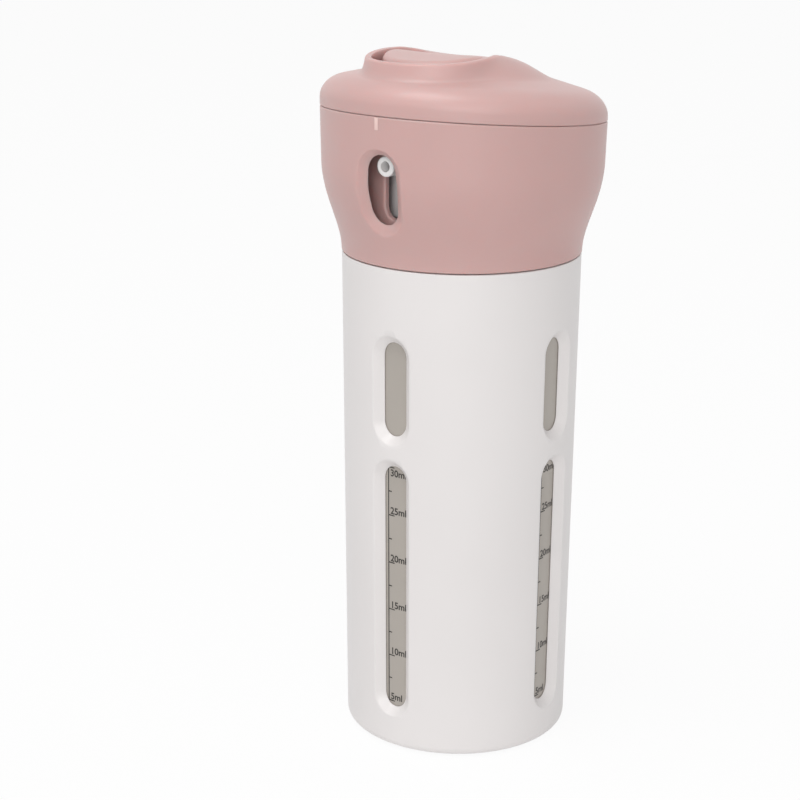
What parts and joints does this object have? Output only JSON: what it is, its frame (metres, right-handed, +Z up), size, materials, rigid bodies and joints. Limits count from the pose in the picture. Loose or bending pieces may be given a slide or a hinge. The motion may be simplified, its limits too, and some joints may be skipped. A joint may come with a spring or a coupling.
{
  "type": "travel dispenser bottle",
  "caption": "Round travel dispenser: windowed sleeve, quarter-round bottles with small pumps, and a turning hood with an outlet slot and a push button.",
  "frame": {"origin": "centre of the base, on the surface it stands on", "axes": "+Z up along the sleeve; the outlet slot, index mark and one window column face -Y"},
  "size_m": [0.07, 0.07, 0.1736],
  "materials": {
    "white_shell": "satin",
    "pink_shell": "satin",
    "clear_bottle": "frosted",
    "white_pump": "gloss",
    "clear_tube": "gloss",
    "seal": "matt",
    "steel": "bright"
  },
  "bodies": {
    "sleeve": {"outer_sleeve": "white_shell"},
    "core": {"pump_carrier": "pink_shell", "bottle_1": "clear_bottle", "closure_1": "white_pump", "gasket_1": "seal", "pump_body_1": "white_pump", "dip_tube_1": "clear_tube", "check_ball_1": "steel", "pump_spring_1": "steel", "bottle_2": "clear_bottle", "closure_2": "white_pump", "gasket_2": "seal", "pump_body_2": "white_pump", "dip_tube_2": "clear_tube", "check_ball_2": "steel", "pump_spring_2": "steel", "bottle_3": "clear_bottle", "closure_3": "white_pump", "gasket_3": "seal", "pump_body_3": "white_pump", "dip_tube_3": "clear_tube", "check_ball_3": "steel", "pump_spring_3": "steel", "bottle_4": "clear_bottle", "closure_4": "white_pump", "gasket_4": "seal", "pump_body_4": "white_pump", "dip_tube_4": "clear_tube", "check_ball_4": "steel", "pump_spring_4": "steel"},
    "hood": {"hood_collar": "pink_shell", "hood_cap": "pink_shell"},
    "button": {"push_button": "pink_shell"},
    "pump_1": {"piston_1": "white_pump", "actuator_1": "white_pump"},
    "pump_2": {"piston_2": "white_pump", "actuator_2": "white_pump"},
    "pump_3": {"piston_3": "white_pump", "actuator_3": "white_pump"},
    "pump_4": {"piston_4": "white_pump", "actuator_4": "white_pump"}
  },
  "joints": [
    {"name": "core_lift", "type": "slide", "parent": "sleeve", "child": "core", "axis": [0, 0, 1], "range_m": [0, 0.13]},
    {"name": "hood_turn", "type": "hinge", "parent": "core", "child": "hood", "pos_m": [0, 0, 0.125], "axis": [0, 0, 1], "continuous": true},
    {"name": "button_press", "type": "slide", "parent": "hood", "child": "button", "axis": [0, 0, -1], "range_m": [0, 0.006], "stiffness_N_per_m": 100, "springref_m": -0.005},
    {"name": "pump_1_press", "type": "slide", "parent": "core", "child": "pump_1", "axis": [0, 0, -1], "range_m": [0, 0.006], "stiffness_N_per_m": 200, "springref_m": -0.005, "deforming": ["pump_spring_1"]},
    {"name": "pump_2_press", "type": "slide", "parent": "core", "child": "pump_2", "axis": [0, 0, -1], "range_m": [0, 0.006], "stiffness_N_per_m": 200, "springref_m": -0.005, "deforming": ["pump_spring_2"]},
    {"name": "pump_3_press", "type": "slide", "parent": "core", "child": "pump_3", "axis": [0, 0, -1], "range_m": [0, 0.006], "stiffness_N_per_m": 200, "springref_m": -0.005, "deforming": ["pump_spring_3"]},
    {"name": "pump_4_press", "type": "slide", "parent": "core", "child": "pump_4", "axis": [0, 0, -1], "range_m": [0, 0.006], "stiffness_N_per_m": 200, "springref_m": -0.005, "deforming": ["pump_spring_4"]}
  ],
  "couplings": [
    {"joint": "pump_1_press", "follows": "button_press", "ratio": 1}
  ]
}
